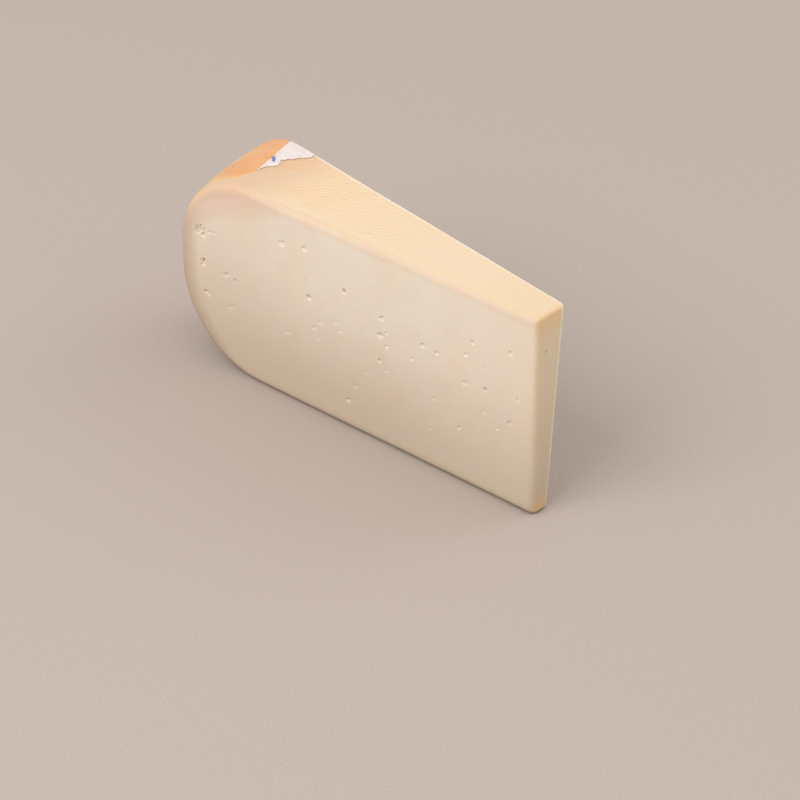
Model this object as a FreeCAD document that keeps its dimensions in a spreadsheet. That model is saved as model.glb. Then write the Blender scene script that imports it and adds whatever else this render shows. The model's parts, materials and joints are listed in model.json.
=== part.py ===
import FreeCAD, Part
import math
import os
import Sketcher

# A slab cut from a wheel of goat gouda, in millimetres.
# It is drawn about the wheel's own axis, and set on its base at the end: +Z is up, the
# bulged rim lies at -X, the narrow end at +X, and the large cut face looks towards -Y.

SIZES = [
    # the whole wheel
    ("wheel_height", 93.0, "between the two flat faces"),
    ("wheel_radius", 182.5, "axis to the widest line of the rim"),
    ("belly_radius", 120.0, "section of the rim, middle"),
    ("shoulder_radius", 39.0, "section of the rim, top"),
    ("foot_radius", 43.0, "section of the rim, bottom"),
    # the slab that the knife took from it
    ("cut_offset", 61.5, "wheel's axis to the front cut"),
    ("cut_length", 200.0, "narrow end to the rim, along the front cut"),
    ("end_width", 17.4, "narrow end, at the top"),
    ("wedge_angle", 9.5, "degrees between the two long cuts, from above"),
    ("back_lean", 4.6, "degrees that the back cut leans out at its top"),
    ("cut_edge", 1.2, "rounding of the edges that the knife left"),
    # the eyes that the cuts laid open
    ("eye_sink", 0.3, "how deep an eye's centre lies, in eye radii"),
    # the scrap of label that is left on the rind
    ("paper", 0.25, "thickness of the label"),
    ("label_inset", 35.3, "rim's widest line to the scrap's tip"),
    ("label_offset", 16.2, "front cut to the scrap's tip"),
    ("label_turn", 16.1, "degrees from the Y axis to its straight edge"),
]

# The largest eyes on the front cut: share of its length from the narrow end, share of the
# wheel's height from the base, and radius.
EYES = [
    (0.93, 0.70, 2.0),
    (0.925, 0.53, 1.8),
    (0.92, 0.365, 1.6),
    (0.69, 0.815, 1.1),
    (0.615, 0.60, 1.0),
    (0.515, 0.71, 1.0),
    (0.41, 0.665, 1.4),
    (0.42, 0.57, 1.2),
    (0.265, 0.61, 1.2),
]

# The scrap's torn edge, from its tip: width, and distance along the straight edge. The
# last two corners lie past the back cut, which trims them.
TORN_EDGE = [
    (1.0, 1.7),
    (1.9, 5.3),
    (4.2, 6.0),
    (5.4, 8.8),
    (5.3, 12.6),
    (7.0, 14.7),
    (9.8, 16.4),
    (15.8, 20.7),
    (16.4, 24.7),
    (17.0, 45.0),
    (0.0, 45.0),
]

# A knife's plane is larger than any wheel, and a rounding of the rim stays under this share
# of the wheel's height.
KNIFE_SPAN = 1000.0
MOST_ROUNDING = 0.47
# Two faces meet in an edge that the knife left where they turn by more than this.
EDGE_TURN = 20.0

os.makedirs("parts", exist_ok=True)
doc = FreeCAD.newDocument("goat_gouda_slab")
sheet = doc.addObject("Spreadsheet::Sheet", "Sizes")
for line, (alias, value, note) in enumerate(SIZES, start=1):
    sheet.set(f"A{line}", note)
    sheet.set(f"B{line}", str(value))
    sheet.setAlias(f"B{line}", alias)
doc.recompute()

# Sizes that follow from the sheet: the two roundings of the rim, and the narrow end's place
# along X from the wheel's axis.
SHOULDER = f"min(Sizes.shoulder_radius; {MOST_ROUNDING} * Sizes.wheel_height)"
FOOT = f"min(Sizes.foot_radius; {MOST_ROUNDING} * Sizes.wheel_height)"
END_X = "(Sizes.cut_length - sqrt(Sizes.wheel_radius ^ 2 - Sizes.cut_offset ^ 2))"


def size(alias):
    """A driving size, as the sheet holds it."""
    return float(getattr(sheet, alias))


def plane_of(body, role):
    """One of the body's own origin planes."""
    return next(item for item in body.Origin.OriginFeatures if item.Role == role)


def add_body(name):
    body = doc.addObject("PartDesign::Body", name)
    body.Label = name
    return body


def add_sketch(body, name, role):
    """An empty sketch on an origin plane of the body."""
    sketch = body.newObject("Sketcher::SketchObject", name)
    sketch.AttachmentSupport = [(plane_of(body, role), "")]
    sketch.MapMode = "FlatFace"
    return sketch


def drive(sketch, kind, *places_and_value, formula):
    """Adds a size to a sketch and binds it to the sheet."""
    number = sketch.addConstraint(Sketcher.Constraint(kind, *places_and_value))
    sketch.setExpression(f"Constraints[{number}]", formula)


def point(x, y):
    return FreeCAD.Vector(x, y, 0)


def arc(centre, radius, start, end):
    """An arc between two angles in degrees, turning left."""
    circle = Part.Circle(centre, FreeCAD.Vector(0, 0, 1), radius)
    return Part.ArcOfCircle(circle, math.radians(start), math.radians(end))


def rim_section(skin):
    """Where the three arcs of the rim are centred and meet, for a sketch's first guess."""
    height = size("wheel_height")
    belly = size("belly_radius")
    middle = size("wheel_radius") - belly
    corners = []
    for radius in (size("foot_radius"), size("shoulder_radius")):
        radius = min(radius, MOST_ROUNDING * height)
        rise = height / 2 - radius
        reach = math.sqrt((belly - radius) ** 2 - rise ** 2)
        turn = math.degrees(math.atan2(rise, reach))
        corners.append((radius + skin, middle + reach, turn))
    return middle, belly + skin, corners


def draw_wheel_section(sketch, skin):
    """Half of the wheel's section: two flat faces joined by a bulge of three arcs.

    skin names the size by which the section stands proud of the wheel all round.
    """
    proud = size(skin) if skin else 0.0
    more = f" + Sizes.{skin}" if skin else ""
    height = size("wheel_height")
    middle, belly, (foot, shoulder) = rim_section(proud)
    foot_radius, foot_x, foot_turn = foot
    shoulder_radius, shoulder_x, shoulder_turn = shoulder
    low = -proud
    high = height + proud
    axis = sketch.addGeometry(Part.LineSegment(point(0, high), point(0, low)))
    base = sketch.addGeometry(Part.LineSegment(point(0, low), point(foot_x, low)))
    foot_arc = sketch.addGeometry(
        arc(point(foot_x, low + foot_radius), foot_radius, -90, -foot_turn))
    belly_arc = sketch.addGeometry(
        arc(point(middle, height / 2), belly, -foot_turn, shoulder_turn))
    shoulder_arc = sketch.addGeometry(
        arc(point(shoulder_x, high - shoulder_radius), shoulder_radius, shoulder_turn, 90))
    top = sketch.addGeometry(Part.LineSegment(point(shoulder_x, high), point(0, high)))
    rule = Sketcher.Constraint
    sketch.addConstraint([
        rule("PointOnObject", axis, 2, -2),
        rule("Vertical", axis),
        rule("Coincident", axis, 2, base, 1),
        rule("Coincident", axis, 1, top, 2),
        rule("Horizontal", base),
        rule("Horizontal", top),
        rule("Tangent", base, 2, foot_arc, 1),
        rule("Tangent", foot_arc, 2, belly_arc, 1),
        rule("Tangent", belly_arc, 2, shoulder_arc, 1),
        rule("Tangent", shoulder_arc, 2, top, 1),
    ])
    drive(sketch, "DistanceY", axis, 2, axis, 1, high - low,
          formula=f"Sizes.wheel_height{more}{more}")
    drive(sketch, "DistanceX", -1, 1, belly_arc, 3, middle,
          formula="Sizes.wheel_radius - Sizes.belly_radius")
    drive(sketch, "DistanceY", -1, 1, belly_arc, 3, height / 2,
          formula="Sizes.wheel_height / 2")
    drive(sketch, "DistanceY", axis, 2, belly_arc, 3, height / 2 - low,
          formula=f"Sizes.wheel_height / 2{more}")
    drive(sketch, "Radius", belly_arc, belly, formula=f"Sizes.belly_radius{more}")
    drive(sketch, "Radius", foot_arc, foot_radius, formula=f"{FOOT}{more}")
    drive(sketch, "Radius", shoulder_arc, shoulder_radius, formula=f"{SHOULDER}{more}")


def add_turned(body, kind, name, skin=""):
    """Turns the wheel's section about its axis, to add it to the body or to take it away."""
    section = add_sketch(body, f"{body.Name}_{name}_section", "XZ_Plane")
    draw_wheel_section(section, skin)
    turned = body.newObject(kind, f"{body.Name}_{name}")
    turned.Profile = section
    turned.ReferenceAxis = (section, ["V_Axis"])
    turned.Angle = 360.0
    doc.recompute()


def draw_loop(sketch, corners):
    """A closed outline of straight lines, joined at its corners."""
    lines = []
    for start, end in zip(corners, corners[1:] + corners[:1]):
        lines.append(sketch.addGeometry(Part.LineSegment(point(*start), point(*end))))
    for line, following in zip(lines, lines[1:] + lines[:1]):
        sketch.addConstraint(Sketcher.Constraint("Coincident", line, 2, following, 1))
        sketch.addConstraint(Sketcher.Constraint("Block", line))


def add_knife(body, name, role, place, outward, keep=None):
    """Cuts away all that lies on one side of a plane, or only what is outside an outline."""
    before = body.Shape.Volume
    sketch = add_sketch(body, f"{body.Name}_{name}_plane", role)
    sketch.setExpression("AttachmentOffset", place)
    half = KNIFE_SPAN / 2
    draw_loop(sketch, [(-half, -half), (half, -half), (half, half), (-half, half)])
    if keep:
        draw_loop(sketch, keep)
    knife = body.newObject("PartDesign::Pocket", f"{body.Name}_{name}")
    knife.Profile = sketch
    knife.Type = "Length"
    knife.Length = KNIFE_SPAN
    knife.Reversed = outward
    doc.recompute()
    if not 0 < body.Shape.Volume < before:
        raise RuntimeError(f"{knife.Name} removed nothing, or everything")


FRONT_CUT = "placement(vector(0; 0; Sizes.cut_offset); rotation(0; 0; 0))"
END_CUT = f"placement(vector(0; 0; {END_X}); rotation(0; 0; 0))"
MIDDLE = "placement(vector(0; 0; Sizes.wheel_height / 2); rotation(0; 0; 0))"


def back_cut(inset="0"):
    """The leaning plane of the back cut, or one that lies inset from it."""
    depth = f"Sizes.cut_offset - Sizes.end_width + {inset}"
    return (f"placement(vector({END_X}; Sizes.wheel_height; {depth});"
            " rotation(0; -Sizes.wedge_angle; -Sizes.back_lean))")


def cut_edges(shape):
    """Edges between two cuts, or between a cut and the wheel's own surface."""
    names = []
    for number, edge in enumerate(shape.Edges, start=1):
        sides = [face for face in shape.Faces if any(edge.isSame(e) for e in face.Edges)]
        if len(sides) != 2:
            continue
        middle = edge.valueAt((edge.FirstParameter + edge.LastParameter) / 2)
        first, second = [face.normalAt(*face.Surface.parameter(middle)) for face in sides]
        if math.degrees(first.getAngle(second)) > EDGE_TURN:
            names.append(f"Edge{number}")
    return names


def add_eyes(body):
    """Round hollows in the front cut."""
    for number, (along, up, radius) in enumerate(EYES, start=1):
        eye = body.newObject("PartDesign::SubtractiveSphere", f"eye_{number}")
        eye.AttachmentSupport = [(plane_of(body, "XZ_Plane"), "")]
        eye.MapMode = "FlatFace"
        eye.Radius = radius
        place = f"vector({END_X} - {along} * Sizes.cut_length; {up} * Sizes.wheel_height;"
        place += f" Sizes.cut_offset - {radius} * Sizes.eye_sink)"
        eye.setExpression("AttachmentOffset", f"placement({place}; rotation(0; 0; 0))")
    doc.recompute()


def build_cheese():
    body = add_body("cheese")
    add_turned(body, "PartDesign::Revolution", "wheel")
    add_knife(body, "front_cut", "XZ_Plane", FRONT_CUT, True)
    add_knife(body, "back_cut", "XZ_Plane", back_cut(), False)
    add_knife(body, "end_cut", "YZ_Plane", END_CUT, True)
    last = body.Tip
    rounding = body.newObject("PartDesign::Fillet", "cheese_cut_edges")
    rounding.Base = (last, cut_edges(last.Shape))
    rounding.setExpression("Radius", "Sizes.cut_edge")
    doc.recompute()
    add_eyes(body)
    return body


def build_label_scrap():
    """Torn paper that follows the wheel from its flat face over the start of the shoulder."""
    body = add_body("label_scrap")
    add_turned(body, "PartDesign::Revolution", "outside", skin="paper")
    add_turned(body, "PartDesign::Groove", "rind")
    add_knife(body, "lower_half", "XY_Plane", MIDDLE, False)
    rim = "(Sizes.wheel_radius - Sizes.label_inset)"
    side = "(Sizes.label_offset - Sizes.cut_offset)"
    tip = f"vector(-sqrt({rim} ^ 2 - {side} ^ 2); {side}; 0)"
    place = f"placement({tip}; rotation(Sizes.label_turn; 0; 0))"
    add_knife(body, "outline", "XY_Plane", place, True, keep=[(0.0, 0.0)] + TORN_EDGE)
    add_knife(body, "back_cut", "XZ_Plane", back_cut("Sizes.cut_edge"), False)
    return body


def check_document(bodies):
    """Stops if any object failed or a sub-part isn't one sound solid."""
    for item in doc.Objects:
        if "Invalid" in item.State or "Error" in item.State:
            raise RuntimeError(f"{item.Name} failed: {item.State}")
    for body in bodies:
        shape = body.Shape
        if shape.isNull() or not shape.isValid() or len(shape.Solids) != 1:
            raise RuntimeError(f"{body.Label} is not one sound solid")


def set_on_base(bodies):
    """Moves the whole so that the middle of its box stands on the origin."""
    box = FreeCAD.BoundBox()
    for body in bodies:
        box.add(body.Shape.optimalBoundingBox(True, False))
    move = FreeCAD.Vector(-box.Center.x, -box.Center.y, 0)
    for body in bodies:
        body.Placement = FreeCAD.Placement(move, FreeCAD.Rotation())
    doc.recompute()


sub_parts = [build_cheese(), build_label_scrap()]
check_document(sub_parts)
set_on_base(sub_parts)
check_document(sub_parts)
for body in sub_parts:
    body.Shape.exportStep(f"parts/{body.Label}.step")
    print(body.Label, body.Shape.optimalBoundingBox(True, False), body.Shape.Volume)
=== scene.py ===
import json
import math
import random

import bpy
from mathutils import Matrix, Vector, noise

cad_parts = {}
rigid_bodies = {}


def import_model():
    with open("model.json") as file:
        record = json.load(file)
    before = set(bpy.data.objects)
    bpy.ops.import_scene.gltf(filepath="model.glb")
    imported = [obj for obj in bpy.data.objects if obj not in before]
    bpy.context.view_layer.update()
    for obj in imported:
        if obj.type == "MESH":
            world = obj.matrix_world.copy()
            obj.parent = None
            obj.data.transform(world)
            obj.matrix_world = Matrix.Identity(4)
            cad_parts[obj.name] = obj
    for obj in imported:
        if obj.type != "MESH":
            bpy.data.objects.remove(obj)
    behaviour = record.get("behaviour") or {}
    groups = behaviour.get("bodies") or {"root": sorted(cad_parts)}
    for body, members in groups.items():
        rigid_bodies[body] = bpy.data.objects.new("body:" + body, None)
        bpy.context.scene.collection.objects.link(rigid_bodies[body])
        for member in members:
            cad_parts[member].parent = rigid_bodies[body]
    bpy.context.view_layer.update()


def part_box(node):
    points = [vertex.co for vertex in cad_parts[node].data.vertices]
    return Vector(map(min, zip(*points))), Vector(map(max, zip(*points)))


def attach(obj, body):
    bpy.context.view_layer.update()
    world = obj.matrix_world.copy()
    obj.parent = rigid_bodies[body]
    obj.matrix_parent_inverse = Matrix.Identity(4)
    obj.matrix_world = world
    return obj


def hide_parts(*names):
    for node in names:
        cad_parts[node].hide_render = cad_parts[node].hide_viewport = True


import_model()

# A slab of goat gouda, standing on a flat face of the wheel that it was cut from: the large
# front cut looks towards -Y, the wheel's bulged rim is at -X and the narrow end at +X.
MM = 0.001
PER_MM = 1000.0
LOW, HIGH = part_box("cheese")

# The wheel's height and radius, the radii of its rounded shoulder and foot, how far from its
# axis the front cut runs and how long it is, and how the two other cuts lie.
WHEEL_HEIGHT = HIGH.z
WHEEL_RADIUS = 182.5 * MM
SHOULDER = 39.0 * MM
FOOT = 43.0 * MM
CUT_OFFSET = 61.5 * MM
CUT_LENGTH = 200.0 * MM
END_WIDTH = 17.4 * MM
WEDGE_ANGLE = math.radians(9.5)
BACK_LEAN = math.radians(4.6)
FRONT_Y = LOW.y
END_X = HIGH.x
AXIS_X = END_X - CUT_LENGTH + math.sqrt(WHEEL_RADIUS ** 2 - CUT_OFFSET ** 2)
AXIS_Y = FRONT_Y + CUT_OFFSET
UP = Vector((0, 0, 1))
AXES = (Vector((1, 0, 0)), Vector((0, 1, 0)), UP)

# Edges sharper than this stay sharp in the shading.
SMOOTH_ANGLE = math.radians(50)

# The three planes of the knife: a point on each, and its outward normal.
BACK_ALONG = Vector((-math.cos(WEDGE_ANGLE), math.sin(WEDGE_ANGLE), 0))
BACK_OUT = Vector((math.sin(WEDGE_ANGLE), math.cos(WEDGE_ANGLE), 0))
BACK_NORMAL = BACK_OUT * math.cos(BACK_LEAN) - UP * math.sin(BACK_LEAN)
FRONT_CUT = (Vector((0, FRONT_Y, 0)), Vector((0, -1, 0)))
BACK_CUT = (Vector((END_X, FRONT_Y + END_WIDTH, WHEEL_HEIGHT)), BACK_NORMAL)
END_CUT = (Vector((END_X, 0, 0)), Vector((1, 0, 0)))


# ---------------------------------------------------------------- modelling helpers

def deselect_all():
    bpy.ops.object.select_all(action="DESELECT")


def choose(piece):
    """Makes one object the only one selected, and the active one."""
    deselect_all()
    piece.select_set(True)
    bpy.context.view_layer.objects.active = piece


def edit(piece, mode="VERT"):
    choose(piece)
    bpy.ops.object.mode_set(mode="EDIT")
    bpy.ops.mesh.select_mode(type=mode)


def done():
    bpy.ops.object.mode_set(mode="OBJECT")


def settle(piece):
    """Puts a piece's place, turn and size into its mesh."""
    choose(piece)
    bpy.ops.object.transform_apply(location=True, rotation=True, scale=True)


def finish_with(piece, kind, **settings):
    """Adds a modifier and applies it."""
    choose(piece)
    modifier = piece.modifiers.new(kind.lower(), kind)
    for name, value in settings.items():
        setattr(modifier, name, value)
    bpy.ops.object.modifier_apply(modifier=modifier.name)


def clear_selection(mesh):
    for item in (*mesh.vertices, *mesh.edges, *mesh.polygons):
        item.select = False


def bevel_edges(piece, wanted, radius, steps):
    """Bevels the edges whose two ends both satisfy a test."""
    mesh = piece.data
    clear_selection(mesh)
    for line in mesh.edges:
        line.select = all(wanted(mesh.vertices[end].co) for end in line.vertices)
    edit(piece, "EDGE")
    bpy.ops.mesh.bevel(offset=radius, segments=steps, profile=0.5, affect="EDGES")
    done()


def slice_off(piece, plane, fill=True):
    """Cuts away what lies on the outer side of a plane."""
    on_plane, outward = plane
    edit(piece)
    bpy.ops.mesh.select_all(action="SELECT")
    bpy.ops.mesh.bisect(plane_co=on_plane, plane_no=outward, use_fill=fill, clear_outer=True)
    done()


def smooth(piece):
    """Shades a piece smoothly, apart from its sharp edges."""
    choose(piece)
    bpy.ops.object.shade_smooth_by_angle(angle=SMOOTH_ANGLE)


def keep_numbers(piece, name, values):
    """Keeps one number for each vertex of a piece, for its finish."""
    piece.data.attributes.new(name, "FLOAT", "POINT").data.foreach_set("value", values)


def join(pieces):
    deselect_all()
    for piece in pieces:
        piece.select_set(True)
    bpy.context.view_layer.objects.active = pieces[0]
    bpy.ops.object.join()
    return pieces[0]


def distance_inside(place, plane):
    """How far a point lies behind one of the knife's planes."""
    on_plane, outward = plane
    return (on_plane - place).dot(outward)


def depth_below_rind(place):
    """How far a point lies inside the wheel's own surface."""
    out = math.hypot(place.x - AXIS_X, place.y - AXIS_Y)
    past_top = max(out - (WHEEL_RADIUS - SHOULDER), 0)
    above = max(place.z - (WHEEL_HEIGHT - SHOULDER), 0)
    past_foot = max(out - (WHEEL_RADIUS - FOOT), 0)
    below = max(FOOT - place.z, 0)
    return min(SHOULDER - math.hypot(past_top, above), FOOT - math.hypot(past_foot, below))


def soft_least(first, second, softness):
    """The lesser of two distances, rounded off where they are nearly the same."""
    near = max(softness - abs(first - second), 0) / softness
    return min(first, second) - near * near * softness / 4


def ripple(place, length, seed):
    """Gentle noise between -1 and 1 whose bumps are about this long."""
    return noise.noise(place / length + Vector((seed, seed * 1.7, seed * 2.3)))


# ---------------------------------------------------------------- the slab

WHEEL_SIDES = 720
ROUNDING_STEPS = 18
NEAR = 0.1 * MM
SLAB_GRAIN = 1.25 * MM
# How wide the rounding is along the front, beside the narrow end, and along the back.
SOFT_CORNER = 4.0 * MM
END_CORNER = 2.2 * MM
CRISP_CORNER = 1.55 * MM
# The step over which a slope is measured, and the least slope that gives a direction.
SLOPE_STEP = 0.05 * MM
SURE_SLOPE = 0.1
# How uneven each face is: how far it falls back at most, how long its waves are, and a seed.
FRONT_WAVE = (0.14 * MM, 38 * MM, 1.0)
BACK_WAVE = (0.14 * MM, 34 * MM, 4.0)
END_WAVE = (0.14 * MM, 22 * MM, 7.0)
RIND_WAVE = (0.12 * MM, 16 * MM, 9.0)


def falls_back(place, wave):
    """How far an uneven face falls back at a point."""
    most, length, seed = wave
    return most * (1 + ripple(place, length, seed)) * 0.5


def depth_in_slab(place):
    """How far a point lies inside the finished slab, with its uneven cuts and soft edges."""
    front = distance_inside(place, FRONT_CUT) - falls_back(place, FRONT_WAVE)
    back = distance_inside(place, BACK_CUT) - falls_back(place, BACK_WAVE)
    end = distance_inside(place, END_CUT) - falls_back(place, END_WAVE)
    rind = depth_below_rind(place) - falls_back(place, RIND_WAVE)
    near_side = soft_least(front, soft_least(end, rind, END_CORNER), SOFT_CORNER)
    return soft_least(near_side, back, CRISP_CORNER)


def inward(place):
    """The direction in which a point gets deeper, found from its neighbours, and its depth."""
    here = depth_in_slab(place)
    slope = [depth_in_slab(place + way * SLOPE_STEP) - here for way in AXES]
    return Vector(slope) / SLOPE_STEP, here


def cut_slab():
    """A wheel with rounded rims, cut by three strokes of the knife."""
    deselect_all()
    bpy.ops.mesh.primitive_cylinder_add(
        vertices=WHEEL_SIDES, radius=WHEEL_RADIUS, depth=WHEEL_HEIGHT,
        location=(AXIS_X, AXIS_Y, WHEEL_HEIGHT / 2))
    slab = bpy.context.object
    slab.name = "cheese_slab"
    settle(slab)
    bevel_edges(slab, lambda co: co.z > WHEEL_HEIGHT - NEAR, SHOULDER, ROUNDING_STEPS)
    bevel_edges(slab, lambda co: co.z < NEAR, FOOT, ROUNDING_STEPS)
    for plane in (FRONT_CUT, BACK_CUT, END_CUT):
        slice_off(slab, plane)
    finish_with(slab, "REMESH", mode="VOXEL", voxel_size=SLAB_GRAIN, adaptivity=0.0)
    return slab


def soften(slab, rounds):
    """Lays every vertex on the softened surface."""
    for _ in range(rounds):
        for vertex in slab.data.vertices:
            way, depth = inward(vertex.co)
            if way.length > SURE_SLOPE:
                vertex.co -= way.normalized() * depth / way.length


# ---------------------------------------------------------------- the rind's fine ridges

RIDGE_TURN = math.radians(27)
RIDGE_GAP = 2.3 * MM
RIDGE_DEPTH = 0.06 * MM
RIDGE_ACROSS = Vector((-math.sin(RIDGE_TURN), math.cos(RIDGE_TURN), 0))
# How the ridges wander and how patchy they are: a share, the length of its waves, a seed.
RIDGE_WANDERS = ((0.8, 16 * MM, 3.0), (0.4, 5 * MM, 5.0))
RIDGE_PATCHES = (0.4, 9 * MM, 6.0)
# The ridges begin this high, get full over a short rise, and fade towards the narrow end.
RIDGES_BEGIN = WHEEL_HEIGHT - 4 * MM
RIDGES_RISE = 3 * MM
RIDGES_FADE_FROM = END_X - 35 * MM
RIDGES_FADE = 60 * MM
FAINTEST_RIDGE = 0.15
# Faces above this height, and this close to a corner, are made finer.
FINE_FACES_FROM = WHEEL_HEIGHT - 3.5 * MM
CORNER_REACH = 3.2 * MM


def near_corner(place):
    """True close to where two of the slab's faces meet."""
    depths = [distance_inside(place, plane) for plane in (FRONT_CUT, BACK_CUT, END_CUT)]
    depths = sorted([*depths, depth_below_rind(place)])
    return depths[1] < CORNER_REACH


def refine(slab):
    """Gives the corners, and the rind on top for its ridges, finer faces."""
    mesh = slab.data
    clear_selection(mesh)
    for face in mesh.polygons:
        on_top = face.center.z > FINE_FACES_FROM
        face.select = on_top or near_corner(face.center)
    edit(slab, "FACE")
    bpy.ops.mesh.subdivide(number_cuts=1)
    done()


def press_ridges(slab):
    """Presses the fine, slightly wavy ridges of the cloth into the rind on top.

    How many ridges lie between the origin and a point is kept as an attribute, so that the
    finish can go on with the same ridges where the faces are too large for them.
    """
    counts = []
    for vertex in slab.data.vertices:
        place = vertex.co
        wander = sum(share * ripple(place, length, seed)
                     for share, length, seed in RIDGE_WANDERS)
        counts.append(place.dot(RIDGE_ACROSS) / RIDGE_GAP + wander)
        top = (place.z - RIDGES_BEGIN) / RIDGES_RISE
        if top <= 0:
            continue
        hollow = 0.5 - 0.5 * math.cos(counts[-1] * math.tau)
        share, length, seed = RIDGE_PATCHES
        patchy = 1 - share + share * ripple(place, length, seed)
        fade = min(max((RIDGES_FADE_FROM - place.x) / RIDGES_FADE, FAINTEST_RIDGE), 1)
        place.z -= RIDGE_DEPTH * hollow * patchy * fade * min(top, 1)
    keep_numbers(slab, "ridge", counts)


# ---------------------------------------------------------------- the eyes

# Eyes in the front cut: distance from the narrow end, height, half width and half height,
# and depth, in millimetres. The first are torn and crumbly, near the rim.
TORN_EYES = [
    (188.9, 64.9, 1.1, 0.8, 1.1),
    (186.6, 66.3, 0.9, 0.8, 1.0),
    (184.9, 65.2, 0.9, 0.8, 0.9),
    (187.4, 63.2, 2.9, 1.3, 0.6),
    (185.4, 61.9, 1.9, 1.4, 0.6),
    (189.9, 62.9, 1.3, 0.9, 0.5),
    (184.2, 63.9, 1.2, 0.9, 0.5),
    (186.0, 59.8, 0.8, 0.5, 0.4),
    (181.4, 64.9, 1.2, 0.9, 0.4),
    (178.8, 65.4, 1.3, 0.9, 0.35),
    (186.2, 49.3, 1.8, 1.0, 1.3),
    (185.6, 47.7, 1.7, 1.1, 0.6),
    (184.7, 52.5, 0.7, 0.9, 0.6),
    (184.9, 34.6, 1.5, 0.9, 0.9),
    (183.2, 33.9, 1.3, 1.3, 0.6),
]
ROUND_EYES = [
    (138.4, 75.4, 2.1, 1.3, 0.5),
    (125.5, 77.7, 1.9, 1.4, 0.5),
    (123.3, 55.3, 1.5, 1.4, 1.0),
    (103.2, 65.9, 1.2, 1.3, 1.1),
    (82.2, 61.2, 1.8, 1.4, 0.65),
    (83.0, 52.7, 1.9, 1.3, 0.65),
    (79.4, 55.4, 0.9, 0.8, 0.4),
    (79.4, 48.9, 1.1, 0.9, 0.5),
    (83.2, 40.5, 1.6, 1.2, 0.45),
    (59.6, 57.3, 1.5, 1.3, 0.65),
    (51.8, 56.9, 1.3, 1.1, 0.6),
    (65.3, 48.7, 1.1, 0.9, 0.4),
    (33.1, 69.4, 1.3, 1.2, 0.7),
    (36.5, 62.4, 1.4, 1.0, 0.6),
    (13.4, 72.1, 1.4, 1.2, 0.6),
    (26.1, 50.1, 1.2, 1.2, 0.9),
    (8.8, 52.4, 0.9, 1.0, 0.4),
    (101.3, 13.9, 1.5, 1.4, 0.5),
    (12.9, 39.7, 0.9, 1.0, 0.5),
    (39.5, 26.4, 1.2, 0.9, 0.4),
    (55.9, 19.1, 1.1, 0.8, 0.4),
    (19.1, 34.5, 0.9, 0.9, 0.4),
    (53.4, 34.5, 1.1, 0.8, 0.3),
    (79.8, 37.0, 0.9, 0.7, 0.3),
]
FLAT_EYES = [
    (171.9, 47.5, 2.1, 1.2, 0.26),
    (169.2, 32.8, 1.9, 1.1, 0.22),
    (166.4, 46.7, 1.3, 1.0, 0.20),
    (135.6, 33.3, 1.8, 1.3, 0.28),
    (116.5, 45.4, 2.2, 1.2, 0.26),
    (120.3, 41.5, 1.8, 1.2, 0.26),
    (107.8, 48.9, 1.8, 1.1, 0.26),
    (105.4, 45.9, 1.1, 0.8, 0.28),
    (119.1, 37.0, 1.3, 1.0, 0.24),
    (36.3, 48.8, 2.3, 1.1, 0.26),
    (97.0, 22.6, 1.8, 1.1, 0.24),
    (90.6, 31.5, 1.4, 0.9, 0.24),
    (26.4, 39.7, 1.0, 1.4, 0.26),
    (26.7, 59.9, 1.2, 0.9, 0.20),
]
# The three kinds, and how rough each is.
EYE_KINDS = ((TORN_EYES, 0.55), (ROUND_EYES, 0.25), (FLAT_EYES, 0.30))

# Eyes in the back cut lie anywhere between these distances from the narrow end and heights,
# in millimetres, except close to the rind.
BACK_EYES = 40
BACK_EYES_ALONG = (8, 190)
BACK_EYES_HEIGHT = (8, 84)
BACK_EYE_HALVES = (0.6, 0.7, 0.8, 0.9, 1.1, 1.3, 1.6)
BACK_EYE_ROUGHNESS = 0.3
CLEAR_OF_RIND = 5 * MM
# The one eye in the narrow end's face.
END_EYE = Vector((END_X, FRONT_Y + 6.2 * MM, 75.5 * MM))
END_EYE_HALVES = (0.8 * MM, 1.0 * MM, 0.8 * MM)
END_EYE_ROUGHNESS = 0.25

# How far an eye slants into the slab when its depth is this share of its half height, how it
# is rolled on the cut, and how much higher its lump is than the eye that it leaves.
EYE_SLANT = math.radians(35)
SLANT_FULL_FROM = 0.8
EYE_ROLL = math.radians(-20)
EYE_ROLL_SPREAD = 0.3
EYE_STRETCH = 1.15
EYE_GRAIN = 0.2 * MM
# From the first depth on a vertex counts as in an eye, and at its bottom when it is deeper
# by the second.
EYE_FROM = 0.09 * MM
EYE_BOTTOM = 0.6 * MM


def shape_hollow(place, half_width, half_height, deep, roughness, seed, turn=0.0):
    """A lump in the form of one eye, to be taken out of the slab.

    It slants, the more the deeper it is, so that the eye is deepest under its upper edge
    and its floor comes up gently to its lower edge. A turn of 0 is for the front cut.
    """
    slant = EYE_SLANT * min(deep / (SLANT_FULL_FROM * half_height), 1)
    roll = EYE_ROLL + random.uniform(-EYE_ROLL_SPREAD, EYE_ROLL_SPREAD)
    deselect_all()
    bpy.ops.mesh.primitive_ico_sphere_add(subdivisions=4, radius=1.0)
    lump = bpy.context.object
    for vertex in lump.data.vertices:
        swell = noise.noise(vertex.co * 1.3 + Vector((seed, 0, seed)))
        swell += 0.6 * noise.noise(vertex.co * 3.1 + Vector((0, seed, 0)))
        vertex.co *= 1 + roughness * swell
    lump.scale = (half_width, deep, half_height * EYE_STRETCH)
    lump.rotation_euler = (-slant, roll, turn)
    lump.location = place
    settle(lump)
    return lump


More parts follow.
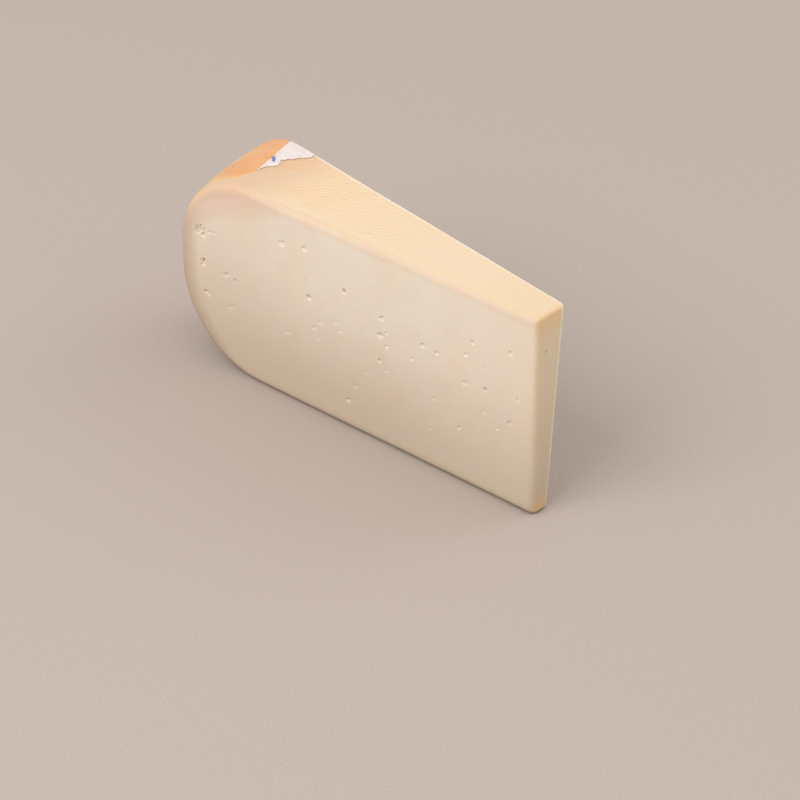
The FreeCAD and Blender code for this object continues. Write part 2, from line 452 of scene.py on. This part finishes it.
def make_hollows():
    """All the eyes that the knife laid open, as one joined lump."""
    random.seed(7)
    lumps = []
    rows = [(row, roughness) for eyes, roughness in EYE_KINDS for row in eyes]
    for seed, ((along, height, half_width, half_height, deep), roughness) in enumerate(rows):
        place = Vector((END_X - along * MM, FRONT_Y, height * MM))
        lumps.append(shape_hollow(place, half_width * MM, half_height * MM, deep * MM,
                                  roughness, seed * 3.1))
    for seed in range(BACK_EYES):
        along = random.uniform(*BACK_EYES_ALONG) * MM
        height = random.uniform(*BACK_EYES_HEIGHT) * MM
        half = random.choice(BACK_EYE_HALVES) * MM
        on_cut = BACK_CUT[0] + BACK_ALONG * along
        on_cut += (UP + BACK_OUT * math.tan(BACK_LEAN)) * (height - WHEEL_HEIGHT)
        if depth_below_rind(on_cut) < CLEAR_OF_RIND:
            continue
        lumps.append(shape_hollow(on_cut, half, half * random.uniform(0.6, 1.1),
                                  half * random.uniform(0.4, 0.8), BACK_EYE_ROUGHNESS,
                                  50 + seed * 1.9, math.pi - WEDGE_ANGLE))
    lumps.append(shape_hollow(END_EYE, *END_EYE_HALVES, END_EYE_ROUGHNESS, 90, math.pi / 2))
    hollows = join(lumps)
    hollows.name = "hollows"
    finish_with(hollows, "REMESH", mode="VOXEL", voxel_size=EYE_GRAIN, adaptivity=0.0)
    return hollows


def clean_rims(slab):
    """Clears loose crumbs and points where only two lines meet, and splits hollow faces."""
    mesh = slab.data
    clear_selection(mesh)
    mesh.vertices[0].select = True
    edit(slab)
    bpy.ops.mesh.select_linked()
    bpy.ops.mesh.select_all(action="INVERT")
    bpy.ops.mesh.delete(type="VERT")
    done()
    lines_at = [0] * len(mesh.vertices)
    for line in mesh.edges:
        for end in line.vertices:
            lines_at[end] += 1
    clear_selection(mesh)
    for vertex in mesh.vertices:
        vertex.select = lines_at[vertex.index] == 2
    edit(slab)
    bpy.ops.mesh.dissolve_verts()
    bpy.ops.mesh.select_all(action="SELECT")
    bpy.ops.mesh.vert_connect_concave()
    done()


def open_eyes(slab):
    """Takes the eyes out, and marks how deep each point lies in one, from 0 to 1."""
    hollows = make_hollows()
    finish_with(slab, "BOOLEAN", operation="DIFFERENCE", solver="EXACT", object=hollows)
    bpy.data.objects.remove(hollows)
    clean_rims(slab)
    depths = [depth_in_slab(vertex.co) - EYE_FROM for vertex in slab.data.vertices]
    keep_numbers(slab, "hollow", [min(max(depth / EYE_BOTTOM, 0), 1) for depth in depths])


def make_cheese():
    slab = cut_slab()
    soften(slab, 1)
    refine(slab)
    soften(slab, 2)
    press_ridges(slab)
    open_eyes(slab)
    smooth(slab)
    return slab


# ---------------------------------------------------------------- the scrap of label

PAPER = 0.10 * MM
# How far the scrap's tip lies inside the wheel's radius and behind the front cut, how far its
# straight edge is turned from Y, and how far it stops short of the back cut.
LABEL_INSET = 35.3 * MM
LABEL_OFFSET = 16.2 * MM
LABEL_TURN = math.radians(16.1)
LABEL_SHORT = 0.5 * MM
LABEL_LENGTH = 36.0 * MM
LABEL_COLUMNS = 40
LABEL_ROWS = 200
# How far the paper lifts off the rind at least, in its waves and along its tear, and the
# height that it never passes.
LIFT_LEAST = 0.04 * MM
LIFT_WAVES = 0.10 * MM
LIFT_AT_TEAR = 0.30 * MM
LIFT_LIMIT = WHEEL_HEIGHT + 0.13 * MM
# The tear's fraying: how far it goes in millimetres, and how quickly it changes.
FRAYS = ((0.6, 0.7), (0.7, 1.9), (0.5, 4.6))
FRAY_FULL_FROM = 3
LEAST_WIDTH = 0.15
TEAR_REACH = 0.7 * MM
# The small waves of its straight edge.
EDGE_WAVE = 0.10 * MM
EDGE_PACE = 0.7
# The torn edge: distance along the straight edge from the tip, and width there.
TORN_EDGE = [(0.0, 0.2), (1.7, 0.8), (4.0, 1.5), (5.2, 2.6), (6.0, 4.6), (7.6, 5.8), (9.4, 6.2),
             (11.4, 5.6), (12.6, 4.6), (13.4, 6.4), (14.9, 7.4), (15.5, 9.2), (17.3, 10.6),
             (19.4, 14.4), (21.6, 15.6), (24.7, 16.4), (36.0, 17.0)]


def label_tip():
    """Where the scrap's narrow tip lies on the rind, seen from above."""
    out = WHEEL_RADIUS - LABEL_INSET
    side = LABEL_OFFSET - CUT_OFFSET
    return Vector((AXIS_X - math.sqrt(out ** 2 - side ** 2), AXIS_Y + side, 0))


def torn_width(along):
    """The scrap's width at a distance from its tip, frayed."""
    width = TORN_EDGE[-1][1]
    for (start, first), (end, second) in zip(TORN_EDGE, TORN_EDGE[1:]):
        if along <= end * MM:
            share = (along / MM - start) / (end - start)
            width = first + (second - first) * share
            break
    spot = Vector((along / MM, 0, 0))
    fray = sum(size * noise.noise(spot * pace) for size, pace in FRAYS)
    return max(width + fray * min(along / MM / FRAY_FULL_FROM, 1), LEAST_WIDTH) * MM


def tear_nearness(place):
    """1 at the label's torn edge, and 0 from a short way inside it."""
    flat = Matrix.Rotation(-LABEL_TURN, 3, "Z") @ (place - label_tip())
    return min(max(1 - (torn_width(flat.y) - flat.x) / TEAR_REACH, 0), 1)


SEARCH_FROM = WHEEL_HEIGHT - 8 * MM
SEARCH_TO = WHEEL_HEIGHT + 1 * MM
HALVINGS = 14


def surface_height(place):
    """The height of the slab's skin under a point near its top, found by halving."""
    low = SEARCH_FROM
    high = SEARCH_TO
    for _ in range(HALVINGS):
        middle = (low + high) / 2
        if depth_in_slab(Vector((place.x, place.y, middle))) > 0:
            low = middle
        else:
            high = middle
    return low


def make_label():
    """Torn paper that lies on the rind and bends with it, fibrous along its tear."""
    deselect_all()
    bpy.ops.mesh.primitive_grid_add(x_subdivisions=LABEL_COLUMNS, y_subdivisions=LABEL_ROWS,
                                    size=1)
    label = bpy.context.object
    label.name = "label_paper_scrap"
    tip = label_tip()
    turn = Matrix.Rotation(LABEL_TURN, 3, "Z")
    for vertex in label.data.vertices:
        along = (vertex.co.y + 0.5) * LABEL_LENGTH
        share = vertex.co.x + 0.5
        edge_wave = EDGE_WAVE * noise.noise(Vector((along / MM * EDGE_PACE, 9, 0)))
        across = edge_wave + share * torn_width(along)
        vertex.co = tip + turn @ Vector((across, along, 0)) + UP * WHEEL_HEIGHT
    on_cut, outward = BACK_CUT
    slice_off(label, (on_cut - outward * LABEL_SHORT, outward), fill=False)
    torn = [tear_nearness(vertex.co) for vertex in label.data.vertices]
    for vertex, near_tear in zip(label.data.vertices, torn):
        vertex.co.z = surface_height(vertex.co)
        lift = 0.5 + 0.5 * ripple(vertex.co, 4 * MM, 11.0)
        vertex.co.z += LIFT_LEAST + LIFT_WAVES * lift + LIFT_AT_TEAR * lift * near_tear
        vertex.co.z = min(vertex.co.z, LIFT_LIMIT)
    keep_numbers(label, "torn", torn)
    finish_with(label, "SOLIDIFY", thickness=PAPER, offset=1.0)
    smooth(label)
    return label


# ---------------------------------------------------------------- shader maths

class Wire:
    """A node socket that adds up, multiplies and compares like a number."""

    def __init__(self, paint, socket):
        self.paint = paint
        self.socket = socket

    def maths(self, operation, *others):
        ends = [self, *others]
        node = self.paint.add("ShaderNodeMath", settings={"operation": operation},
                              **{f"_{slot}": end for slot, end in enumerate(ends)})
        return Wire(self.paint, node.outputs[0])

    def __add__(self, other):
        return self.maths("ADD", other)

    def __mul__(self, other):
        return self.maths("MULTIPLY", other)

    def __sub__(self, other):
        return self.maths("SUBTRACT", other)

    def __rsub__(self, other):
        return (self * -1.0) + other

    def __truediv__(self, other):
        return self.maths("DIVIDE", other)

    def __pow__(self, other):
        return self.maths("POWER", other)

    def least(self, other):
        return self.maths("MINIMUM", other)

    def most(self, other):
        return self.maths("MAXIMUM", other)

    def root(self):
        return self.maths("SQRT")

    def cosine(self):
        return self.maths("COSINE")

    def exponent(self):
        return self.maths("EXPONENT")

    def between(self, start, end):
        """0 at start and 1 at end, with soft ends."""
        node = self.paint.add("ShaderNodeMapRange", settings={"interpolation_type": "SMOOTHSTEP"},
                              Value=self, From_Min=start, From_Max=end)
        return Wire(self.paint, node.outputs[0])


class Paint:
    """A material's node tree, with the few moves that the finishes need."""

    def __init__(self, name):
        self.material = bpy.data.materials.new(name)
        self.material.use_nodes = True
        self.tree = self.material.node_tree
        self.tree.nodes.clear()
        place = self.add("ShaderNodeTexCoord")
        self.place = Wire(self, place.outputs["Object"])
        parts = self.add("ShaderNodeSeparateXYZ", Vector=self.place)
        self.x, self.y, self.z = [Wire(self, end) for end in parts.outputs]

    def add(self, kind, settings=None, **inputs):
        """Adds a node, sets it up, and sets or links its sockets.

        A socket is named with _ for a space, or by its number after a _.
        """
        node = self.tree.nodes.new(kind)
        for name, value in (settings or {}).items():
            setattr(node, name, value)
        for name, value in inputs.items():
            numbered = name[0] == "_" and name[1:].isdigit()
            key = int(name[1:]) if numbered else name.replace("_", " ")
            socket = node.inputs[key]
            if isinstance(value, Wire):
                self.tree.links.new(value.socket, socket)
            else:
                socket.default_value = value
        return node

    def mark(self, name):
        """A number that the mesh carries at its vertices."""
        node = self.add("ShaderNodeAttribute", settings={"attribute_name": name})
        return Wire(self, node.outputs["Fac"])

    def grain(self, scale, detail, stretch=(1, 1, 1), turn=0.0):
        """Noise from 0 to 1 whose grains are about 1 / scale metres."""
        mapped = self.add("ShaderNodeMapping", Vector=self.place, Scale=stretch,
                          Rotation=(0, 0, turn))
        node = self.add("ShaderNodeTexNoise", Vector=Wire(self, mapped.outputs[0]), Scale=scale,
                        Detail=detail, Roughness=0.55)
        return Wire(self, node.outputs["Fac"])

    def blend(self, share, first, second):
        """A colour between two colours."""
        node = self.add("ShaderNodeMix", settings={"data_type": "RGBA"}, _0=share, _6=first,
                        _7=second)
        return Wire(self, node.outputs[2])

    def bump(self, height, distance, strength):
        node = self.add("ShaderNodeBump", Height=height, Distance=distance, Strength=strength)
        return Wire(self, node.outputs[0])

    def finish(self, shader):
        out = self.add("ShaderNodeOutputMaterial")
        self.tree.links.new(shader.outputs[0], out.inputs["Surface"])
        return self.material


def turned_frame(paint, origin, turn):
    """How far a point lies across and along from an origin, in axes turned about Z."""
    east = paint.x - origin.x
    north = paint.y - origin.y
    across = east * math.cos(turn) + north * math.sin(turn)
    along = north * math.cos(turn) - east * math.sin(turn)
    return across, along


def colour(red, green, blue):
    """A colour given as it looks on screen, from 0 to 255, made linear for the shader."""
    def linear(value):
        value = value / 255
        return value / 12.92 if value <= 0.04045 else ((value + 0.055) / 1.055) ** 2.4
    return (linear(red), linear(green), linear(blue), 1.0)


# ---------------------------------------------------------------- finishes

PASTE = colour(248, 235, 218)
PASTE_WARM = colour(247, 229, 209)
# Painted shade: the darker paste towards the base and towards both ends of the slab.
PASTE_PAINTED_SHADE = colour(225, 206, 182)
# Painted shade: a darker, yellower copy of the paste for the narrow end's face.
PASTE_END_SHADE = colour(239, 219, 190)
PASTE_TORN = colour(241, 227, 222)
# Painted shade for the bottom of the deepest eyes.
PASTE_EYE_SHADE = colour(184, 158, 132)
UNDER_RIND = colour(228, 204, 177)
# Partly painted light: the paste's own tone under the rind, made stronger and more orange on the
# narrow end's face for the light that glows through the rind.
UNDER_RIND_END_GLOW = colour(249, 210, 160)
UNDER_RIM = colour(198, 172, 145)
RIND_LINE = colour(166, 133, 101)
RIND_TOP = colour(238, 214, 183)
RIND_TOP_WARM = colour(240, 204, 162)
RIND_TOP_NARROW = colour(234, 211, 176)
# Painted shade in the ridges' grooves and a painted highlight on their crests.
RIND_GROOVE_SHADE = colour(232, 194, 150)
RIND_CREST_HIGHLIGHT = colour(246, 225, 201)
# Painted shade along the top's rounded front edge.
RIND_EDGE_SHADE = colour(226, 201, 170)
RIND_STRIP = colour(225, 193, 161)
UNDER_SHOULDER = colour(241, 209, 189)
# Painted highlight along the edges of the back cut.
BACK_EDGE_HIGHLIGHT = colour(255, 245, 228)
ORANGE_COAT = colour(232, 166, 112)
ORANGE_PALE = colour(235, 183, 136)
GOLD_EDGE = colour(231, 192, 128)

# Bands of the finish, in millimetres: where each one starts to show, and where it is full.
# From the narrow end:
END_FACE = (1.8, 0.4)
END_HALF = (110, 5)
END_SIDE_SHADE = (40, 5)
RIM_SIDE_SHADE = (115, 172)
SHOULDER_PART = (135, 168)
RIM_PART = (160, 185)
RIDGED_PART = (30, 110)
WARM_PART = (60, 175)
NARROW_PART = (50, 0)
EDGE_DEEPENS = (60, 130)
EDGE_FADES = (142, 168)
BACK_EDGE_PART = (172, 150)
# From the base:
BASE_SHADE = (74.4, 0)
UNDER_TOP = (79, 59)
SHOULDER_HIGH = (60, 85)
FLAT_TOP = (78, 88)
COAT_WIDENS = (84.5, 82.5)
FRINGE_WIDENS = (90, 82)
GOLD_SHOWS = (89, 81)
GOLD_FADES = (81, 64)
# Back from the front cut's plane:
RIDGES_CLEAR = (2.5, 7.0)
WARM_CLEAR = (0, 16)
FRONT_EDGE_SHADE_BAND = (4.5, 0.5)
# Down from the wheel's own surface:
SHOULDER_BAND = (6.5, 1.5)
LINE_BAND = (1.5, 0.4)
SKIN = (1.1, 0.25)
BACK_EDGE_BAND = (2.2, 0.8)

# How deep the tone under the rind reaches, and how much deeper on the narrow end's face, at
# the rim and under the shoulder; the tone is full at the last depth. In millimetres.
UNDER_REACH = 5.6
UNDER_REACH_END = 7.0
UNDER_REACH_RIM = 5.0
UNDER_REACH_SHOULDER = 16.0
UNDER_FULL = 0.8

# How far short of the front cut the coat ends, in millimetres: COAT_GAP, and a sweep that
# gets e times as long in each COAT_CURVE from the label's tip towards the narrow end, less
# COAT_STEP where the coat widens. Its edge is ragged.
COAT_GAP = 4.5
COAT_SWEEP = 11.5
COAT_CURVE = 3.3
COAT_STEP = 4.6
COAT_RAGGED = 5.0
# Where the stain that runs on from the coat lies, across and along the label from its tip.
STAIN_ACROSS = (22, 9)
STAIN_ALONG = (2, 9)


def rind_depth_wire(paint):
    """The same depth below the wheel's surface as in the modelling, in millimetres."""
    out = ((paint.x - AXIS_X) ** 2.0 + (paint.y - AXIS_Y) ** 2.0).root()
    past_top = (out - (WHEEL_RADIUS - SHOULDER)).most(0.0)
    above = (paint.z - (WHEEL_HEIGHT - SHOULDER)).most(0.0)
    past_foot = (out - (WHEEL_RADIUS - FOOT)).most(0.0)
    below = (FOOT - paint.z).most(0.0)
    from_top = SHOULDER - (past_top ** 2.0 + above ** 2.0).root()
    from_foot = FOOT - (past_foot ** 2.0 + below ** 2.0).root()
    return from_top.least(from_foot) * PER_MM


class SlabPlace:
    """Where a point of the slab lies, in millimetres, and the parts that several tints use."""

    def __init__(self, paint):
        self.inset = (END_X - paint.x) * PER_MM
        self.behind = (paint.y - FRONT_Y) * PER_MM
        self.height = paint.z * PER_MM
        self.depth = rind_depth_wire(paint)
        self.cloudy = paint.grain(28.0, 3.0)
        self.end_face = self.inset.between(*END_FACE)
        self.shoulder = self.inset.between(*SHOULDER_PART)
        self.rimward = self.inset.between(*RIM_PART) * self.height.between(*UNDER_TOP)


def paste_tint(paint, at):
    """The mottled paste, with painted shade: a little darker towards the base and towards the two
    ends.
    """
    mottle = at.cloudy * 0.6 + paint.grain(95.0, 2.0) * 0.4
    # Painted shade: the paste turns to its warmer, darker tone towards both ends.
    outer = ((paint.x * 10.0) ** 2.0).least(1.0) * 0.8
    body = paint.blend(mottle.between(0.36, 0.64).most(outer), PASTE, PASTE_WARM)
    # Painted shade: the narrow end's face gets the darker copy of the paste.
    body = paint.blend(at.end_face, body, PASTE_END_SHADE)
    # Painted shade: darker towards the base, and along the front towards the rim and the narrow
    # end.
    low = at.height.between(*BASE_SHADE) * (1.0 - at.end_face * 0.3)
    low = low * (1.08 - at.inset.between(*END_HALF) * 0.25)
    side_shade = at.inset.between(*RIM_SIDE_SHADE) * 0.22
    side_shade = side_shade + at.inset.between(*END_SIDE_SHADE) * (1.0 - at.end_face) * 0.14
    return paint.blend(low + side_shade * (1.0 - low), body, PASTE_PAINTED_SHADE)


def under_rind_tint(paint, at, body):
    """The paste close under the rind, deeper in tone and, on the narrow end's face, more orange
    with painted light, and the rind's own line at the rim.
    """
    under = paint.blend(at.shoulder, UNDER_RIND, UNDER_SHOULDER)
    close = at.shoulder * at.depth.between(*SHOULDER_BAND) * 0.85
    under = paint.blend(close, under, RIND_STRIP)
    # Painted light, in part: on the narrow end's face the band under the rind is more orange and
    # reaches deeper.
    under = paint.blend(at.end_face, under, UNDER_RIND_END_GLOW)
    under = paint.blend(at.rimward, under, UNDER_RIM)
    reach = at.end_face * UNDER_REACH_END + at.rimward * UNDER_REACH_RIM + UNDER_REACH
    high = at.height.between(*SHOULDER_HIGH)
    reach = reach + at.shoulder * high * UNDER_REACH_SHOULDER
    near_rind = ((reach - at.depth) / (reach - UNDER_FULL)).most(0.0).least(1.0)
    body = paint.blend(near_rind * (at.cloudy * 0.3 + 0.75), body, under)
    line = (at.depth + (at.cloudy - 0.5) * 0.6).between(*LINE_BAND)
    return paint.blend(line * at.rimward * 0.8, body, RIND_LINE)


def eye_tint(paint, body):
    """The torn paste in the eyes, with painted shade at the bottom of the deepest."""
    hollow = paint.mark("hollow")
    body = paint.blend(hollow.between(0.1, 0.5) * 0.4, body, PASTE_TORN)
    return paint.blend(hollow.between(0.85, 1.0) * 0.28, body, PASTE_EYE_SHADE)


def ridge_wires(paint, at):
    """The cloth's ridges, 0 in a groove and 1 on a crest, and how plainly they show."""
    choppy = (paint.grain(230.0, 2.0) - 0.5) * 1.5
    ridges = ((paint.mark("ridge") + choppy) * math.tau).cosine() * 0.5 + 0.5
    shown = at.inset.between(*RIDGED_PART) * at.behind.between(*RIDGES_CLEAR)
    shown = shown * paint.grain(130.0, 3.0).between(0.28, 0.55)
    shown = shown * (at.height.between(*FLAT_TOP) * 0.8 + 0.2)
    return ridges, shown


def flat_face_tint(paint, at, ridges, ridged):
    """The wheel's flat faces, warmer towards the rim, streaked along the ridges with painted
    shade and highlight, and with painted shade along the front edge.
    """
    warm = at.inset.between(*WARM_PART) * (at.cloudy * 0.5 + 0.55)
    warm = warm * at.behind.between(*WARM_CLEAR)
    top = paint.blend(at.inset.between(*NARROW_PART), RIND_TOP, RIND_TOP_NARROW)
    top = paint.blend(warm, top, RIND_TOP_WARM)
    strokes = ridged * (paint.grain(310.0, 2.0).between(0.30, 0.62) * 0.7 + 0.3)
    # Painted shade in the grooves and a painted highlight on the crests of the ridges.
    top = paint.blend(strokes * (1.0 - ridges) * 0.4, top, RIND_GROOVE_SHADE)
    top = paint.blend(strokes * ridges * 0.5, top, RIND_CREST_HIGHLIGHT)
    top = paint.blend(at.shoulder, top, RIND_STRIP)
    # Painted shade: the top darkens along its rounded edge towards the front cut.
    edge = at.behind.between(*FRONT_EDGE_SHADE_BAND) * (at.inset.between(*EDGE_DEEPENS) * 0.5 + 0.5)
    edge = edge * (1.0 - at.inset.between(*EDGE_FADES))
    return paint.blend(edge, top, RIND_EDGE_SHADE)


def coated_tint(paint, at, top):
    """The orange coat round the rim, which ends at the label's edge and short of the cut."""
    tip = label_tip()
    across, along = turned_frame(paint, tip, LABEL_TURN)
    across = across * PER_MM
    along = along * PER_MM
    gap = ((paint.x - tip.x) * (PER_MM / COAT_CURVE)).exponent() * COAT_SWEEP + COAT_GAP
    gap = gap - at.height.between(*COAT_WIDENS) * COAT_STEP
    ragged = (paint.grain(110.0, 4.0) - 0.5) * COAT_RAGGED
    inside = at.behind - gap + ragged
    coated = inside.between(-2.0, 2.2) * (ragged * 0.08 - across).between(-0.3, 0.4)
    coat = paint.blend(paint.grain(60.0, 3.0).between(0.3, 0.7), ORANGE_COAT, ORANGE_PALE)
    fringe = (inside - at.height.between(*FRINGE_WIDENS) * 5.0).between(5.5, 0.0)
    coat = paint.blend(fringe * (at.cloudy * 0.5 + 0.55), coat, GOLD_EDGE)
    golden = at.height.between(*GOLD_SHOWS) * (1.0 - at.height.between(*GOLD_FADES) * 0.7)
    coat = paint.blend(golden * at.cloudy * 1.2, coat, GOLD_EDGE)
    stain = across.between(*STAIN_ACROSS) * along.between(*STAIN_ALONG)
    stain = stain * paint.grain(150.0, 2.0).between(0.25, 0.6)
    top = paint.blend(stain * 0.6, top, ORANGE_PALE)
    return paint.blend(coated, top, coat)


def back_edge_highlight_tint(paint, at, tint):
    """A painted highlight: the thin pale line along the back cut's edges with the top and the
    narrow end, where light from behind catches them.
    """
    on_cut, outward = BACK_CUT
    behind = (on_cut.x - paint.x) * outward.x + (on_cut.y - paint.y) * outward.y
    behind = (behind + (on_cut.z - paint.z) * outward.z) * PER_MM
    beside = at.depth.between(*BACK_EDGE_BAND).most(at.inset.between(*BACK_EDGE_BAND))
    beside = beside * at.inset.between(*BACK_EDGE_PART)
    edge_highlight = beside * (behind + (at.cloudy - 0.5) * 0.8).between(2.2, 0.9)
    return paint.blend(edge_highlight * 0.9, tint, BACK_EDGE_HIGHLIGHT)


def cheese_finish():
    paint = Paint("goat_gouda")
    at = SlabPlace(paint)
    body = eye_tint(paint, under_rind_tint(paint, at, paste_tint(paint, at)))
    ridges, ridged = ridge_wires(paint, at)
    skin = coated_tint(paint, at, flat_face_tint(paint, at, ridges, ridged))
    on_skin = at.depth.between(*SKIN)
    tint = back_edge_highlight_tint(paint, at, paint.blend(on_skin, body, skin))
    fine = paint.grain(420.0, 3.0)
    pits = paint.grain(330.0, 1.0).between(0.36, 0.26)
    relief = fine * 0.35 + paint.grain(1400.0, 2.0) * 0.2 - pits * 0.9
    relief = relief + ridges * on_skin * ridged * 1.2
    shader = paint.add("ShaderNodeBsdfPrincipled", Base_Color=tint, Roughness=fine * 0.14 + 0.42,
                       Normal=paint.bump(relief, 0.12 * MM, 0.6), IOR=1.42,
                       Subsurface_Weight=0.85, Subsurface_Scale=1.8 * MM,
                       Subsurface_Radius=(1.0, 0.76, 0.52), Specular_IOR_Level=0.35)
    return paint.finish(shader)


PAPER_WHITE = colour(239, 228, 225)
PAPER_SHADE = colour(224, 208, 205)
PAPER_TORN = colour(242, 222, 192)

# What is left of the print: a blue streak, its place from the label's tip, how it slants,
# how it narrows along its length, and its soft border.
PRINT_BLUE = colour(88, 122, 176)
PRINT_PLACE = Vector((1.55 * MM, 12.75 * MM, 0))
PRINT_SLANT = math.radians(42)
PRINT_NARROWNESS = 1.15
PRINT_TAPER = 230.0
PRINT_LENGTHENING = 0.32
PRINT_WOBBLE = 2.2 * MM
PRINT_BORDER = (1.2 * MM, 0.8 * MM)


def label_finish():
    paint = Paint("label_paper")
    fibres = paint.grain(700.0, 4.0, stretch=(0.4, 1.0, 1.0), turn=0.6)
    sheet = paint.blend(fibres.between(0.35, 0.75), PAPER_WHITE, PAPER_SHADE)
    sheet = paint.blend(paint.mark("torn").between(0.35, 1.0), sheet, PAPER_TORN)
    spot = label_tip() + Matrix.Rotation(LABEL_TURN, 3, "Z") @ PRINT_PLACE
    across, along = turned_frame(paint, spot, PRINT_SLANT)
    across = across * (PRINT_NARROWNESS - along * PRINT_TAPER)
    away = (across ** 2.0 + (along * PRINT_LENGTHENING) ** 2.0).root()
    away = away + (paint.grain(500.0, 3.0) - 0.5) * PRINT_WOBBLE
    sheet = paint.blend(away.between(*PRINT_BORDER) * 0.9, sheet, PRINT_BLUE)
    shader = paint.add("ShaderNodeBsdfPrincipled", Base_Color=sheet, Roughness=0.8,
                       Normal=paint.bump(fibres, 0.1 * MM, 0.7), Specular_IOR_Level=0.25)
    return paint.finish(shader)


FLOOR_PALE = colour(193, 179, 170)
FLOOR_GREY = colour(187, 173, 164)
# What the floor reflects onto the slab: a dark tone close to it, and a pale one from afar.
BOUNCE_NEAR = colour(88, 72, 50)
BOUNCE_FAR = colour(196, 182, 170)
BOUNCE_REACH = (0.10, 0.30)


def floor_finish():
    paint = Paint("floor_paper")
    tint = paint.blend(paint.grain(900.0, 2.0).between(0.3, 0.75), FLOOR_PALE, FLOOR_GREY)
    away = ((paint.x * 0.8) ** 2.0 + (paint.y * 1.3) ** 2.0).root()
    bounce = paint.blend(away.between(*BOUNCE_REACH), BOUNCE_NEAR, BOUNCE_FAR)
    rays = paint.add("ShaderNodeLightPath").outputs
    seen = Wire(paint, rays["Is Camera Ray"])
    for kind in ("Is Glossy Ray", "Is Transmission Ray"):
        seen = seen.most(Wire(paint, rays[kind]))
    tint = paint.blend(seen, bounce, tint)
    shader = paint.add("ShaderNodeBsdfPrincipled", Base_Color=tint, Roughness=0.9,
                       Specular_IOR_Level=0.2)
    return paint.finish(shader)


# ---------------------------------------------------------------- stage, lamps and camera

FLOOR_SIZE = 8.0

# Soft square lamps: name, azimuth and elevation in degrees, breadth and power.
LAMPS = [("key", -8, 46, 1.8, 32.0), ("edge", 95, 30, 1.6, 1.2), ("behind", 150, 38, 1.6, 9.0)]
LAMP_DISTANCE = 2.6
SKY_COLOUR = (1.0, 0.98, 0.96, 1.0)
SKY_STRENGTH = 0.73

# The camera's angles are in degrees, its lens and sensor in millimetres.
CAMERA_AZIMUTH = 42.0
CAMERA_ELEVATION = 31.9
CAMERA_DISTANCE = 1.3008
CAMERA_TARGET = Vector((END_X - 56.6 * MM, FRONT_Y - 17.03 * MM, 40.5 * MM))
CAMERA_LENS = 144.35
CAMERA_SENSOR = 36.0


def make_floor():
    deselect_all()
    bpy.ops.mesh.primitive_plane_add(size=FLOOR_SIZE, location=(0, 0, 0))
    floor = bpy.context.object
    floor.name = "floor"
    settle(floor)
    floor.data.materials.append(floor_finish())


def set_up(name, data, target, azimuth, elevation, distance):
    """Sets up a lamp or camera that looks at a target; azimuth 0 faces the large cut."""
    around = math.radians(azimuth)
    rise = math.radians(elevation)
    back = Vector((math.sin(around) * math.cos(rise), -math.cos(around) * math.cos(rise),
                   math.sin(rise)))
    holder = bpy.data.objects.new(name, data)
    holder.location = target + back * distance
    holder.rotation_euler = back.to_track_quat("Z", "Y").to_euler()
    bpy.context.scene.collection.objects.link(holder)
    return holder


def light_scene():
    for name, azimuth, elevation, breadth, power in LAMPS:
        lamp = bpy.data.lights.new(name, "AREA")
        lamp.size = breadth
        lamp.energy = power
        set_up(name, lamp, Vector((0, 0, 0)), azimuth, elevation, LAMP_DISTANCE)
    world = bpy.data.worlds.new("studio")
    world.use_nodes = True
    sky = world.node_tree.nodes["Background"].inputs
    sky["Color"].default_value = SKY_COLOUR
    sky["Strength"].default_value = SKY_STRENGTH
    bpy.context.scene.world = world
    bpy.context.scene.view_settings.view_transform = "Standard"


def add_camera():
    lens = bpy.data.cameras.new("camera")
    lens.lens = CAMERA_LENS
    lens.sensor_width = CAMERA_SENSOR
    bpy.context.scene.camera = set_up("camera", lens, CAMERA_TARGET, CAMERA_AZIMUTH,
                                      CAMERA_ELEVATION, CAMERA_DISTANCE)


# ---------------------------------------------------------------- putting it together

def place_piece(piece, material, node):
    piece.data.materials.clear()
    piece.data.materials.append(material)
    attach(piece, "root")
    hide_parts(node)


add_camera()
light_scene()
make_floor()
place_piece(make_cheese(), cheese_finish(), "cheese")
place_piece(make_label(), label_finish(), "label_scrap")
